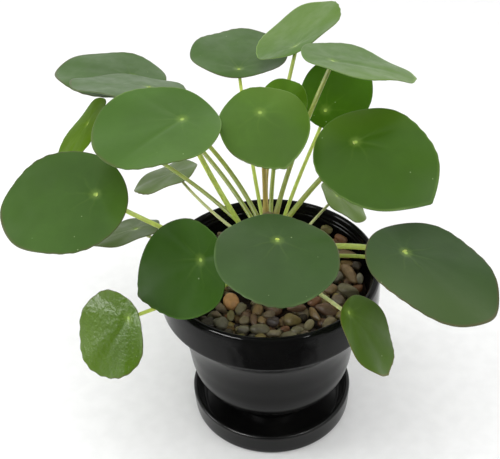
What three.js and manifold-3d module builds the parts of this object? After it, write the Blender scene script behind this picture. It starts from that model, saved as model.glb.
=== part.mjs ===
// A potted Chinese money plant (Pilea peperomioides): a glazed pot on its saucer, soil, a pebble
// dressing, a short woody stem and round leaves, each on its own stalk.
// Millimetres, +Z up. The origin is the centre of the saucer's flat underside.
import * as THREE from 'three';
import { mergeVertices } from 'three/addons/utils/BufferGeometryUtils.js';
import Module from 'manifold-3d';

const wasm = await Module();
wasm.setup();

// ---- Driving dimensions ----------------------------------------------------------------------

const GAP = 0.3;                 // clearance between pieces that touch

const ROUND_SIDES = 40;          // sides of the turned pieces
const WELD = 1e-4;               // points closer than this are one point

// Saucer
const SAUCER_RADIUS = 58;
const SAUCER_HEIGHT = 18;
const SAUCER_FLOOR = 4.2;        // height of the dish's floor
const SAUCER_WALL = 3.6;

// Pot
const POT_BASE = SAUCER_FLOOR + GAP;
const POT_TOP = 130;
const POT_RADIUS = 75.5;         // at the collar
const POT_WALL = 5.5;
const COLLAR_HEIGHT = 27;
const FOOT_RADIUS = 27;
const FOOT_HEIGHT = 6.5;
const DRAIN_RADIUS = 5;
// Outside of the body below the collar, from foot to collar: radius, height.
const BODY_OUTLINE = [
  [27, 11], [38, 20.5], [50, 33], [55, 41], [57.5, 50], [59, 62], [61.5, 77], [65.5, 90], [71.5, 101],
];
const BODY_STEPS = 8;            // steps the outline is drawn in
// Inside wall of the pot, from the drain hole to the lip: radius, height.
const INNER_WALL = [[24, 12.5], [39, 28], [49.5, 49], [56.5, 77], [67, 104]];

// Soil and pebbles
const SOIL_TOP = 104;            // level with the last point of the inner wall
const BED_TOP = 112;             // top of the packed gravel that the pebbles stand out of
const PEBBLE_SEED = 7;
const PEBBLE_RINGS = [[14, 6], [26, 12], [37.5, 17], [48.5, 22], [59, 26]];   // radius, pebbles
const PEBBLE_SPREAD = { round: 0.6, out: 2 };   // uneven spacing round a ring, and off it (mm)
// Least and most of a pebble's half length (mm), of its breadth and thickness against that, of the
// share of its thickness that its middle stands above the bed, and of its tip (radians).
const PEBBLE_LENGTH = [5, 6.8];
const PEBBLE_BREADTH = [0.66, 0.88];
const PEBBLE_THICKNESS = [0.56, 0.76];
const PEBBLE_LIFT = [0.15, 0.55];
const PEBBLE_TIP = [-0.35, 0.35];
const PEBBLE_SIDES = [7, 5];     // round, and from pole to pole
const AMBER_PEBBLE = { at: [-26, -22, 115], size: [5.4, 7, 5], turn: 0.2 };

// Stem
const STEM_RADIUS = 5.5;
const STEM_FOOT = 84;
const STEM_TOP = 172;
const STEM_SIDES = 12;

// Leaves
const BLADE_THICKNESS = 1;
const LOBE_TAPER = 0.06;         // how much narrower a blade is towards its tip
const WAVE_HEIGHT = 0.9;         // of the margin
const WAVES = 5;                 // round the margin
const TOOTH_HEIGHT = 0.012;      // of a scalloped margin, as a share of its reach
const BLADE_SIDES = 24;          // sides of a smooth margin
const SIDES_PER_TOOTH = 2;
const LARGE_BLADE = 60;          // a blade longer than this has one ring more
const LARGE_RINGS = [0.4, 0.74, 1];   // reach of each ring of points, stalk to margin
const SMALL_RINGS = [0.55, 1];
const STALK_SIDES = 6;
const STALK_STEPS = 11;
const STALK_FLARE = 1.3;         // stalk radius at the stem, against its middle
const STALK_TAPER = 0.85;        // stalk radius at the blade, against its middle
const FLARE_SHARE = 0.12;        // share of the stalk that the flare takes
const STEEPEST_START = 2.5;      // rise over run of a stalk as it leaves the stem
const STALK_BOW = 0.5;           // share of the stalk bent by the way it leaves the stem
const STALK_NECK = 0.05;         // share bent by the way it meets the blade
const NECK_REACH = 3;            // how far the neck follows the stalk's line, against the blade's up
const NECK_LIFT = 2.5;           // least lift of the neck into a blade that leans over its stalk

// One row for each leaf.
//   at      where the stalk joins the blade (mm)
//   length  blade length (mm); broad: its width against its length
//   tilt    lean of the blade from level, and lean: the compass direction it leans to (degrees)
//   tip     compass direction of the tip (degrees)
//   dome    fall of the blade all round, droop: extra fall towards the tip (share of length)
//   back    how far behind the blade's middle the stalk joins (share of length)
//   from    height at which the stalk leaves the stem (mm)
//   rise    extra lift of the stalk as it leaves the stem, sway: the same sideways
//   stalk   stalk radius (mm)
const LEAVES = [
  { name: 'rear_left_outer', at: [-97, 121, 208], length: 80, broad: 0.94, tilt: 12, lean: 17,
    tip: 174, dome: 0.06, droop: 0.12, back: 0.19, from: 147, rise: 0.34, sway: -0.06, stalk: 1.6 },
  { name: 'rear_left_inner', at: [-79.5, 71.5, 227.5], length: 78, broad: 0.94, tilt: 20, lean: 67,
    tip: 178, dome: 0.06, droop: 0.02, back: 0.17, from: 157, rise: 0.26, sway: -0.26, stalk: 1.6 },
  { name: 'left_high', at: [-51.5, 2.5, 244], length: 79, broad: 0.99, tilt: 5, lean: 290,
    tip: 209, dome: -0.14, droop: 0.26, back: 0.23, from: 137, rise: -0.18, sway: 0, stalk: 1.9 },
  { name: 'left_wide', at: [-106.5, -21, 205.5], length: 79, broad: 0.93, tilt: 21, lean: 281,
    tip: 197, dome: -0.05, droop: 0.28, back: 0.25, from: 126, rise: 0.02, sway: 0.15, stalk: 1.7 },
  { name: 'rear_left_steep', at: [-129.5, 95, 184.5], length: 71, broad: 0.94, tilt: 48, lean: 182,
    tip: 202, dome: 0.05, droop: 0.02, back: 0.2, from: 142, rise: 0.35, sway: -0.04, stalk: 1.5 },
  { name: 'rear_left_small', at: [-68, 84.5, 148], length: 50, broad: 0.95, tilt: 21, lean: 143,
    tip: 195, dome: 0.06, droop: 0.06, back: 0.16, from: 138, rise: 0.07, sway: 0.24, stalk: 1.2 },
  { name: 'left_small', at: [-90.5, 17.5, 148], length: 51, broad: 0.94, tilt: 20, lean: 117,
    tip: 186, dome: 0.07, droop: 0.05, back: 0.18, from: 122, rise: -0.05, sway: 0.15, stalk: 1.2 },
  { name: 'front_left', at: [-42, -53, 177.5], length: 66, broad: 0.92, tilt: 65, lean: 230,
    tip: 165, dome: -0.03, droop: -0.25, back: 0.21, from: 133, rise: 0.15, sway: 0, stalk: 1.5 },
  { name: 'front_left_low', at: [-87.5, -69, 145.5], length: 58, broad: 0.95, tilt: 61, lean: 229,
    tip: 177, dome: 0.04, droop: 0, back: 0.36, from: 122, rise: 0.07, sway: -0.02, stalk: 1.4, teeth: 20 },
  { name: 'front', at: [5, -61.5, 199], length: 77, broad: 0.94, tilt: 5, lean: 357,
    tip: 268, dome: 0.02, droop: 0.1, back: 0.19, from: 144, rise: 0.15, sway: 0, stalk: 1.7 },
  { name: 'crown', at: [-4, 11.5, 242], length: 60, broad: 0.93, tilt: 19, lean: 265,
    tip: 287, dome: 0.07, droop: 0.17, back: 0.16, from: 166, rise: 0.12, sway: -0.03, stalk: 1.6 },
  { name: 'crown_small', at: [10, 46, 223.5], length: 34, broad: 0.93, tilt: 28, lean: 279,
    tip: 74, dome: 0.05, droop: 0, back: 0.2, from: 156, rise: 0.04, sway: 0.35, stalk: 1.1 },
  { name: 'rear', at: [-19.5, 123, 211], length: 77, broad: 0.94, tilt: 2, lean: 313,
    tip: 90, dome: -0.02, droop: 0.08, back: 0.35, from: 142, rise: 0.09, sway: 0.05, stalk: 1.4 },
  { name: 'rear_high', at: [20.5, 98, 241.5], length: 71, broad: 0.94, tilt: 28, lean: 169,
    tip: 83, dome: -0.01, droop: -0.04, back: 0.35, from: 150, rise: 0.12, sway: 0.15, stalk: 1.5 },
  { name: 'rear_right_high', at: [41.5, 30.5, 266.5], length: 73, broad: 0.95, tilt: 16, lean: 46,
    tip: 14, dome: -0.1, droop: 0.22, back: 0.24, from: 167, rise: 0.14, sway: 0.1, stalk: 1.6 },
  { name: 'rear_right', at: [41, 79.5, 201], length: 54, broad: 0.93, tilt: 45, lean: 252,
    tip: 45, dome: 0.05, droop: 0.04, back: 0.28, from: 134, rise: 0.12, sway: 0.06, stalk: 1.4 },
  { name: 'right_high', at: [54, -5.5, 230], length: 78, broad: 0.91, tilt: 19, lean: 240,
    tip: 319, dome: 0.24, droop: 0.26, back: 0.19, from: 156, rise: 0.21, sway: 0.06, stalk: 1.8 },
  { name: 'rear_right_small', at: [48.5, 49, 149.5], length: 40, broad: 0.94, tilt: 34, lean: 0,
    tip: 355, dome: 0.06, droop: 0.08, back: 0.18, from: 124, rise: 0.1, sway: 0, stalk: 1.1 },
  { name: 'right_wide', at: [80, -67, 192.5], length: 84, broad: 0.92, tilt: 13, lean: 352,
    tip: 324, dome: -0.03, droop: 0.2, back: 0.24, from: 138, rise: 0.16, sway: 0.32, stalk: 2 },
  { name: 'front_right_low', at: [47.5, -77.5, 155], length: 52, broad: 0.93, tilt: 43, lean: 340,
    tip: 346, dome: 0.03, droop: 0.19, back: 0.4, from: 128, rise: 0.17, sway: 0.01, stalk: 1.4 },
  { name: 'right_low', at: [84, -32, 158], length: 46, broad: 0.94, tilt: 15, lean: 350,
    tip: 340, dome: 0.04, droop: 0.1, back: 0.22, from: 131, rise: 0.2, sway: 0.15, stalk: 1.4 },
];

// ---- Materials -------------------------------------------------------------------------------

const finish = (color, roughness, metalness = 0) =>
  new THREE.MeshStandardMaterial({ color, roughness, metalness });

const glaze = () => finish(0x0c0c0d, 0.12);
const bladeGreen = () => finish(0x4a6f3a, 0.42);
const stalkGreen = () => finish(0x8fa04a, 0.45);

// ---- Shared helpers --------------------------------------------------------------------------

// Seeded random numbers in 0..1.
function randomSource(seed) {
  let state = seed;
  return () => {
    state = (state * 1664525 + 1013904223) % 4294967296;
    return state / 4294967296;
  };
}

// A mesh whose shared vertices are merged, with only its positions kept.
function solidMesh(name, geometry, material) {
  geometry.deleteAttribute('normal');
  geometry.deleteAttribute('uv');
  const merged = mergeVertices(geometry, WELD);
  merged.computeVertexNormals();
  const mesh = new THREE.Mesh(merged, material);
  mesh.name = name;
  return mesh;
}

// Turns a profile of [radius, height] points about Z.
function turned(profile, sides = ROUND_SIDES) {
  const points = profile.map(([radius, height]) => new THREE.Vector2(radius, height));
  return new THREE.LatheGeometry(points, sides).rotateX(Math.PI / 2);
}

// A smooth run through [radius, height] points.
function smoothRun(points, steps) {
  const curve = new THREE.SplineCurve(points.map(([x, y]) => new THREE.Vector2(x, y)));
  return curve.getPoints(steps).map((point) => [point.x, point.y]);
}

function toManifold(geometry) {
  const shape = geometry.clone();
  shape.deleteAttribute('normal');
  shape.deleteAttribute('uv');
  const merged = mergeVertices(shape, WELD);
  return new wasm.Manifold(new wasm.Mesh({
    numProp: 3,
    vertProperties: new Float32Array(merged.attributes.position.array),
    triVerts: new Uint32Array(merged.index.array),
  }));
}

function fromManifold(solid) {
  const mesh = solid.getMesh();
  const geometry = new THREE.BufferGeometry();
  geometry.setAttribute('position', new THREE.BufferAttribute(mesh.vertProperties, 3));
  geometry.setIndex(new THREE.BufferAttribute(mesh.triVerts, 1));
  return geometry;
}

const compass = (degrees) => {
  const angle = THREE.MathUtils.degToRad(degrees);
  return new THREE.Vector3(Math.cos(angle), Math.sin(angle), 0);
};

// ---- Pot, saucer and what fills the pot ------------------------------------------------------

function saucer() {
  const outer = SAUCER_RADIUS;
  const inner = outer - SAUCER_WALL;
  const profile = [
    [0, 0], [outer - 2.2, 0], [outer - 1, 1.6], [outer - 0.6, 5], [outer - 0.2, 14], [outer, 16.6],
    [outer - 0.9, SAUCER_HEIGHT - 0.3], [outer - 2, SAUCER_HEIGHT], [inner, SAUCER_HEIGHT - 1.2],
    [inner - 1, 13], [inner - 2.4, 7], [inner - 5.5, SAUCER_FLOOR], [0, SAUCER_FLOOR],
  ];
  return solidMesh('saucer', turned(profile), glaze());
}

function pot() {
  const collarBase = POT_TOP - COLLAR_HEIGHT;
  const bore = POT_RADIUS - POT_WALL;
  const lip = [
    [POT_RADIUS - 0.4, POT_TOP - 3.5], [POT_RADIUS - 1.6, POT_TOP - 0.9], [POT_RADIUS - 3, POT_TOP],
    [POT_RADIUS - 4.6, POT_TOP - 0.9], [bore, POT_TOP - 3.5],
  ];
  const profile = [
    [DRAIN_RADIUS, POT_BASE + 1.5], [FOOT_RADIUS - 5, POT_BASE + 1.5], [FOOT_RADIUS - 4, POT_BASE],
    [FOOT_RADIUS, POT_BASE], [FOOT_RADIUS, POT_BASE + FOOT_HEIGHT - 1.5],
    ...smoothRun(BODY_OUTLINE, BODY_STEPS),
    [POT_RADIUS - 0.4, collarBase], [POT_RADIUS, collarBase + 2], [POT_RADIUS, POT_TOP - 12],
    ...lip,
    [bore - 0.6, POT_TOP - 12],
    ...INNER_WALL.slice().reverse(),
    [DRAIN_RADIUS, 12.5], [DRAIN_RADIUS, POT_BASE + 1.5],
  ];
  return solidMesh('pot', turned(profile), glaze());
}

function soil() {
  const wall = INNER_WALL.map(([radius, height]) => [radius - GAP, height]);
  const [floorRadius, floorHeight] = INNER_WALL[0];
  wall[0] = [floorRadius - GAP, floorHeight + GAP];
  const hole = STEM_RADIUS + GAP;
  const profile = [
    [0, floorHeight + GAP], ...wall,
    [hole, SOIL_TOP], [hole, STEM_FOOT - GAP], [0, STEM_FOOT - GAP],
  ];
  return solidMesh('soil', turned(profile), finish(0x2a1d14, 0.95));
}

// A rounded stone, turned and tipped a little.
function stone(at, halfSizes, turn, tip) {
  const shape = new THREE.SphereGeometry(1, ...PEBBLE_SIDES).rotateX(Math.PI / 2);
  shape.scale(...halfSizes);
  shape.rotateY(tip);
  shape.rotateZ(turn);
  shape.translate(...at);
  return shape;
}

// Pebbles in rings round the stem, sunk into a packed bed.
function pebbles() {
  const random = randomSource(PEBBLE_SEED);
  const between = ([least, most]) => least + (most - least) * random();
  const [wallRadius] = INNER_WALL[INNER_WALL.length - 1];
  const hole = STEM_RADIUS + GAP;
  const bed = [
    [hole, SOIL_TOP + GAP], [wallRadius - 2 * GAP, SOIL_TOP + GAP], [wallRadius - 2 * GAP, BED_TOP],
    [hole, BED_TOP], [hole, SOIL_TOP + GAP],
  ];
  let heap = toManifold(turned(bed));
  const amber = new THREE.Vector3(...AMBER_PEBBLE.at);
  for (const [ring, count] of PEBBLE_RINGS) {
    for (let i = 0; i < count; i += 1) {
      const angle = ((i + PEBBLE_SPREAD.round * random()) / count) * 2 * Math.PI;
      const radius = ring + PEBBLE_SPREAD.out * (random() - 0.5);
      const long = between(PEBBLE_LENGTH);
      const halfSizes = [long, long * between(PEBBLE_BREADTH), long * between(PEBBLE_THICKNESS)];
      const height = BED_TOP + halfSizes[2] * between(PEBBLE_LIFT);
      const at = [radius * Math.cos(angle), radius * Math.sin(angle), height];
      const turn = random() * Math.PI;
      const tip = between(PEBBLE_TIP);
      const clear = new THREE.Vector3(...at).distanceTo(amber) > AMBER_PEBBLE.size[1] + long;
      if (clear) heap = heap.add(toManifold(stone(at, halfSizes, turn, tip)));
    }
  }
  const socket = stone(AMBER_PEBBLE.at, AMBER_PEBBLE.size.map((half) => half + GAP), AMBER_PEBBLE.turn, 0);
  heap = heap.subtract(toManifold(socket));
  return solidMesh('pebbles', fromManifold(heap), finish(0x6e5d48, 0.6));
}

function amberPebble() {
  const { at, size, turn } = AMBER_PEBBLE;
  return solidMesh('pebble_amber', stone(at, size, turn, 0), finish(0xc07a45, 0.5));
}

function stem() {
  const profile = [
    [0, STEM_FOOT], [STEM_RADIUS, STEM_FOOT], [STEM_RADIUS, STEM_TOP - 4],
    [STEM_RADIUS - 1.2, STEM_TOP - 1.4], [0, STEM_TOP],
  ];
  return solidMesh('stem', turned(profile, STEM_SIDES), finish(0x7a6a3c, 0.8));
}

// ---- Leaves ----------------------------------------------------------------------------------

// The blade's own axes: along towards the tip, across, and up out of its upper face.
function bladeAxes(leaf) {
  const tilt = THREE.MathUtils.degToRad(leaf.tilt);
  const up = compass(leaf.lean).multiplyScalar(Math.sin(tilt));
  up.z = Math.cos(tilt);
  const along = compass(leaf.tip);
  along.z = -up.dot(along) / up.z;
  along.normalize();
  const across = new THREE.Vector3().crossVectors(up, along);
  return { along, across, up };
}

// A point of the upper face: angle round the blade from its tip, reach from the stalk to the margin.
function bladePoint(leaf, axes, angle, reach) {
  const half = leaf.length / 2;
  const teeth = leaf.teeth ? TOOTH_HEIGHT * Math.cos(leaf.teeth * angle) : 0;
  const margin = reach * (1 + teeth);
  const u = margin * (half * Math.cos(angle) + leaf.back * leaf.length);
  const v = margin * leaf.broad * half * Math.sin(angle) * (1 - LOBE_TAPER * Math.cos(angle));
  const fall = leaf.dome * (u * u + v * v) + leaf.droop * Math.max(u, 0) ** 2;
  const wave = WAVE_HEIGHT * reach ** 3 * Math.sin(WAVES * angle + leaf.tip);
  return new THREE.Vector3(...leaf.at)
    .addScaledVector(axes.along, u)
    .addScaledVector(axes.across, v)
    .addScaledVector(axes.up, wave - fall / leaf.length);
}

// A closed blade: the same rings of triangles on both faces, joined round the margin.
function blade(leaf) {
  const axes = bladeAxes(leaf);
  const reaches = leaf.length > LARGE_BLADE ? LARGE_RINGS : SMALL_RINGS;
  const sides = leaf.teeth ? SIDES_PER_TOOTH * leaf.teeth : BLADE_SIDES;
  const positions = [];
  const faceStart = [];
  for (const drop of [0, BLADE_THICKNESS]) {
    faceStart.push(positions.length / 3);
    const offset = axes.up.clone().multiplyScalar(-drop);
    positions.push(...bladePoint(leaf, axes, 0, 0).add(offset));
    for (const reach of reaches) {
      for (let i = 0; i < sides; i += 1) {
        const angle = (i / sides) * 2 * Math.PI;
        positions.push(...bladePoint(leaf, axes, angle, reach).add(offset));
      }
    }
  }
  const triangles = [];
  const vertex = (face, ring, side) => faceStart[face] + 1 + ring * sides + (side % sides);
  const addBothFaces = (a, b, c) => {
    triangles.push(a(0), b(0), c(0));
    triangles.push(c(1), b(1), a(1));
  };
  const rim = reaches.length - 1;
  for (let i = 0; i < sides; i += 1) {
    addBothFaces((f) => faceStart[f], (f) => vertex(f, 0, i), (f) => vertex(f, 0, i + 1));
    for (let ring = 0; ring < rim; ring += 1) {
      const inner = (f) => vertex(f, ring, i);
      const innerNext = (f) => vertex(f, ring, i + 1);
      const outer = (f) => vertex(f, ring + 1, i);
      const outerNext = (f) => vertex(f, ring + 1, i + 1);
      addBothFaces(inner, outer, outerNext);
      addBothFaces(inner, outerNext, innerNext);
    }
    triangles.push(vertex(0, rim, i), vertex(1, rim, i), vertex(1, rim, i + 1));
    triangles.push(vertex(0, rim, i), vertex(1, rim, i + 1), vertex(0, rim, i + 1));
  }
  const geometry = new THREE.BufferGeometry();
  geometry.setAttribute('position', new THREE.Float32BufferAttribute(positions, 3));
  geometry.setIndex(triangles);
  return solidMesh(`blade_${leaf.name}`, geometry, bladeGreen());
}

// The stalk's middle line, from the stem to the underside of the blade.
function stalkCurve(leaf, axes) {
  const foot = new THREE.Vector3(leaf.at[0], leaf.at[1], 0).setLength(STEM_RADIUS + GAP);
  const side = new THREE.Vector3(-foot.y, foot.x, 0).normalize();
  foot.z = leaf.from;
  const head = new THREE.Vector3(...leaf.at).addScaledVector(axes.up, -BLADE_THICKNESS - GAP);
  const chord = head.clone().sub(foot);
  const length = chord.length();
  chord.normalize();
  const start = chord.clone().addScaledVector(side, leaf.sway);
  start.z += leaf.rise;
  const run = Math.hypot(start.x, start.y);
  start.z = Math.min(start.z, STEEPEST_START * run);
  start.normalize();
  const lift = Math.max(1, NECK_LIFT - NECK_REACH * chord.dot(axes.up));
  const end = chord.clone().multiplyScalar(NECK_REACH).addScaledVector(axes.up, lift).normalize();
  return new THREE.CubicBezierCurve3(
    foot,
    foot.clone().addScaledVector(start, STALK_BOW * length),
    head.clone().addScaledVector(end, -STALK_NECK * lift * length),
    head,
  );
}

// How far a point slides back along a direction to lie on the stem, GAP clear of it.
function slideToStem(point, direction) {
  const reach = STEM_RADIUS + GAP;
  const a = direction.x ** 2 + direction.y ** 2;
  const b = point.x * direction.x + point.y * direction.y;
  const c = point.x ** 2 + point.y ** 2 - reach ** 2;
  return (-b + Math.sqrt(Math.max(b * b - a * c, 0))) / a;
}

// A tapered stalk bent along its middle line, cut to sit on the stem and under the blade.
function stalk(leaf) {
  const axes = bladeAxes(leaf);
  const curve = stalkCurve(leaf, axes);
  const frames = curve.computeFrenetFrames(STALK_STEPS, false);
  const seat = new THREE.Plane().setFromNormalAndCoplanarPoint(axes.up, curve.getPointAt(1));
  const geometry = new THREE.CylinderGeometry(1, 1, 1, STALK_SIDES, STALK_STEPS);
  const position = geometry.attributes.position;
  for (let i = 0; i < position.count; i += 1) {
    const share = position.getY(i) + 0.5;
    const step = Math.round(share * STALK_STEPS);
    const flare = (STALK_FLARE - 1) * Math.max(0, 1 - share / FLARE_SHARE);
    const radius = leaf.stalk * (1 + flare - (1 - STALK_TAPER) * share);
    const point = curve.getPointAt(step / STALK_STEPS)
      .addScaledVector(frames.normals[step], position.getX(i) * radius)
      .addScaledVector(frames.binormals[step], -position.getZ(i) * radius);
    const tangent = frames.tangents[step];
    let slide = 0;
    if (step === 0) slide = slideToStem(point, tangent);
    if (step === STALK_STEPS) slide = -seat.distanceToPoint(point) / axes.up.dot(tangent);
    point.addScaledVector(tangent, slide);
    position.setXYZ(i, point.x, point.y, point.z);
  }
  return solidMesh(`stalk_${leaf.name}`, geometry, stalkGreen());
}

// ---- Assembly --------------------------------------------------------------------------------

const plant = new THREE.Group();
plant.add(saucer(), pot(), soil(), pebbles(), amberPebble(), stem());
for (const leaf of LEAVES) plant.add(blade(leaf), stalk(leaf));

export default plant;
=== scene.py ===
"""The looks of a potted Chinese money plant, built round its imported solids.

Lengths are in millimetres, as in the part's source, and become metres when a mesh is made. The stage,
the lamps and the distances inside a material are in metres.
The origin is the centre of the saucer's flat underside, with +Z up and the camera on the -Y side.
"""

import math
from collections import namedtuple

import bmesh
import bpy
import numpy as np
from mathutils import Matrix, Vector, noise


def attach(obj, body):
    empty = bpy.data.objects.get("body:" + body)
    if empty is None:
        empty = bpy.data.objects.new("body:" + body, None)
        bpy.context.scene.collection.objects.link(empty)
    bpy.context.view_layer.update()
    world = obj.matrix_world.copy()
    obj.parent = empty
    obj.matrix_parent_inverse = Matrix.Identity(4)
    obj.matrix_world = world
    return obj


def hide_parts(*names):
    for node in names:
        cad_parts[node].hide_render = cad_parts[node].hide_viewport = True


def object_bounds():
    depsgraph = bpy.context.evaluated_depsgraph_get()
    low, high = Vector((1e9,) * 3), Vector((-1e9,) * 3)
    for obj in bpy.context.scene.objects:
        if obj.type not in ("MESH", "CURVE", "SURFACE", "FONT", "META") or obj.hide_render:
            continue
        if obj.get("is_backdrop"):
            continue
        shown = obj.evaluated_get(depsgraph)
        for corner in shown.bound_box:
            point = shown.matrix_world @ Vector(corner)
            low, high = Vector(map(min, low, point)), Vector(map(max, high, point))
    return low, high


MM = 0.001
TURN = 2 * math.pi

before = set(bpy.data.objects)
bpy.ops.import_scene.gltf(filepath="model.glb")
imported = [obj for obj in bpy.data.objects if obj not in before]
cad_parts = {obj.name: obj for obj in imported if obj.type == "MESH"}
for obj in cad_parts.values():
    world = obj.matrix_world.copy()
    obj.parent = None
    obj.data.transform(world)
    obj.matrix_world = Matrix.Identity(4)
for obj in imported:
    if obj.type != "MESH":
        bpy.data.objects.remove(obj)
cad_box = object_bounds()

# ---- Sizes shared with the solids ------------

GAP = 0.3  # clearance between pieces that touch

SAUCER_RADIUS = 58
SAUCER_HEIGHT = 18
SAUCER_FLOOR = 4.2  # height of the dish's floor

POT_BASE = SAUCER_FLOOR + GAP
POT_RADIUS = 75.5  # at the collar
POT_TOP = 130
COLLAR_FOOT = 103
FOOT_RADIUS = 27
DRAIN_RADIUS = 5
BODY_OUTLINE = [
    (27, 11), (38, 20.5), (50, 33), (55, 41), (57.5, 50), (59, 62), (61.5, 77), (65.5, 90), (71.5, 101),
]
INNER_WALL = [(24, 12.5), (39, 28), (49.5, 49), (56.5, 77), (67, 104)]

BED_TOP = 112  # of the packed gravel that the pebbles stand out of
PEBBLE_SEED = 7
PEBBLE_RINGS = [(14, 6), (26, 12), (37.5, 17), (48.5, 22), (59, 26)]  # radius, pebbles
PEBBLE_SPREAD = (0.6, 2)  # uneven spacing round a ring, and off it (mm)
PEBBLE_LENGTH = (5, 6.8)  # half length, then breadth and thickness against it
PEBBLE_BREADTH = (0.66, 0.88)
PEBBLE_THICKNESS = (0.56, 0.76)
PEBBLE_LIFT = (0.15, 0.55)  # share of the thickness that stands out
PEBBLE_TIP = (-0.35, 0.35)
AMBER_AT = (-26, -22, 115)
AMBER_SIZE = (5.4, 7, 5)
AMBER_TURN = 0.2

STEM_RADIUS = 5.5
STEM_FOOT = 84
STEM_TOP = 172

BLADE_THICKNESS = 1
LOBE_TAPER = 0.06  # how much narrower a blade is towards its tip
WAVE_HEIGHT = 0.9  # of the margin
WAVES = 5  # round the margin
STALK_FLARE = 0.3  # thicker at the stem, against its middle
STALK_TAPER = 0.15  # thinner at the blade, against its middle
FLARE_SHARE = 0.12  # share of the stalk that the flare takes
STEEPEST_START = 2.5  # rise over run of a stalk as it leaves the stem
STALK_BOW = 0.5  # share of the stalk bent by the way it leaves the stem
STALK_NECK = 0.05  # share bent by the way it meets the blade
NECK_REACH = 3  # how far the neck follows the stalk's line, against the blade's up
NECK_LIFT = 2.5  # least lift of the neck into a blade that leans over its stalk

# A leaf: where the stalk joins the blade, the blade's length, its width against its length, its tilt
# and the compass direction it leans to, the direction of its tip, the fall of the blade all round
# and towards the tip, how far behind its middle the stalk joins, the height at which the stalk
# leaves the stem, the stalk's extra lift and sway there, and its radius.
Leaf = namedtuple("Leaf", "at length broad tilt lean tip dome droop back height rise sway stalk")
LEAVES = {
    "rear_left_outer": ((-97, 121, 208), 80, 0.94, 12, 17, 174, 0.06, 0.12, 0.19, 147, 0.34, -0.06, 1.6),
    "rear_left_inner": (
        (-79.5, 71.5, 227.5), 78, 0.94, 20, 67, 178, 0.06, 0.02, 0.17, 157, 0.26, -0.26, 1.6),
    "left_high": ((-51.5, 2.5, 244), 79, 0.99, 5, 290, 209, -0.14, 0.26, 0.23, 137, -0.18, 0, 1.9),
    "left_wide": ((-106.5, -21, 205.5), 79, 0.93, 21, 281, 197, -0.05, 0.28, 0.25, 126, 0.02, 0.15, 1.7),
    "rear_left_steep": ((-129.5, 95, 184.5), 71, 0.94, 48, 182, 202, 0.05, 0.02, 0.2, 142, 0.35, -0.04, 1.5),
    "rear_left_small": ((-68, 84.5, 148), 50, 0.95, 21, 143, 195, 0.06, 0.06, 0.16, 138, 0.07, 0.24, 1.2),
    "left_small": ((-90.5, 17.5, 148), 51, 0.94, 20, 117, 186, 0.07, 0.05, 0.18, 122, -0.05, 0.15, 1.2),
    "front_left": ((-42, -53, 177.5), 66, 0.92, 65, 230, 165, -0.03, -0.25, 0.21, 133, 0.15, 0, 1.5),
    "front_left_low": ((-87.5, -69, 145.5), 58, 0.95, 61, 229, 177, 0.04, 0, 0.36, 122, 0.07, -0.02, 1.4),
    "front": ((5, -61.5, 199), 77, 0.94, 5, 357, 268, 0.02, 0.1, 0.19, 144, 0.15, 0, 1.7),
    "crown": ((-4, 11.5, 242), 60, 0.93, 19, 265, 287, 0.07, 0.17, 0.16, 166, 0.12, -0.03, 1.6),
    "crown_small": ((10, 46, 223.5), 34, 0.93, 28, 279, 74, 0.05, 0, 0.2, 156, 0.04, 0.35, 1.1),
    "rear": ((-19.5, 123, 211), 77, 0.94, 2, 313, 90, -0.02, 0.08, 0.35, 142, 0.09, 0.05, 1.4),
    "rear_high": ((20.5, 98, 241.5), 71, 0.94, 28, 169, 83, -0.01, -0.04, 0.35, 150, 0.12, 0.15, 1.5),
    "rear_right_high": ((41.5, 30.5, 266.5), 73, 0.95, 16, 46, 14, -0.1, 0.22, 0.24, 167, 0.14, 0.1, 1.6),
    "rear_right": ((41, 79.5, 201), 54, 0.93, 45, 252, 45, 0.05, 0.04, 0.28, 134, 0.12, 0.06, 1.4),
    "right_high": ((54, -5.5, 230), 78, 0.91, 19, 240, 319, 0.24, 0.26, 0.19, 156, 0.21, 0.06, 1.8),
    "rear_right_small": ((48.5, 49, 149.5), 40, 0.94, 34, 0, 355, 0.06, 0.08, 0.18, 124, 0.1, 0, 1.1),
    "right_wide": ((80, -67, 192.5), 84, 0.92, 13, 352, 324, -0.03, 0.2, 0.24, 138, 0.16, 0.32, 2),
    "front_right_low": ((47.5, -77.5, 155), 52, 0.93, 43, 340, 346, 0.03, 0.19, 0.4, 128, 0.17, 0.01, 1.4),
    "right_low": ((84, -32, 158), 46, 0.94, 15, 350, 340, 0.04, 0.1, 0.22, 131, 0.2, 0.15, 1.4),
}
LEAVES = {name: Leaf(*row) for name, row in LEAVES.items()}
# Young puckered blades, and how many teeth their margin has.
TOOTHED = {"front_left_low": 20}

# A blunt point of some margins: degrees round the blade from its tip, and how far out (mm).
CORNERS = {
    "crown": (8, 1.8), "front_left": (4, 1.8), "right_high": (-4, 1.8), "rear_right_high": (-14, 1.6),
    "front_right_low": (-20, 1.2), "rear_right": (0, 1.2),
}
# Folds that run out from the navel: degrees round from the tip, depth and half width (mm).
FOLDS = {
    "left_high": [(18, 0.4, 2), (-70, 0.35, 3)],
    "front_left_low": [(14, 0.5, 3), (150, 0.4, 3)],
    "front_left": [(-64, 0.35, 2.2), (170, 0.35, 2.2)],
    "right_high": [(60, 0.35, 2), (20, 0.35, 2)],
    "rear_right_high": [(-10, 0.7, 3.5)],
    "rear_high": [(28, 0.8, 5)],
    "crown": [(136, 0.7, 4)],
    "left_wide": [(-64, 0.4, 4)],
}

# Painted light: a lighter, livelier green towards one side of a blade, for light through the blade and for
# light that leaves above keep off: degrees round from the tip, and its share there.
PAINTED_LIGHT_SIDES = {
    "crown": (133, 0.9), "rear_high": (-13, 0.8), "rear_right_high": (-74, 0.7),
    "front_right_low": (-150, 1.0), "right_high": (141, 0.9), "crown_small": (120, 0.4),
    "front_left_low": (-60, 0.4), "left_high": (100, 0.2), "left_wide": (180, 0.8),
    "right_wide": (-60, 1.0),
}

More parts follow.
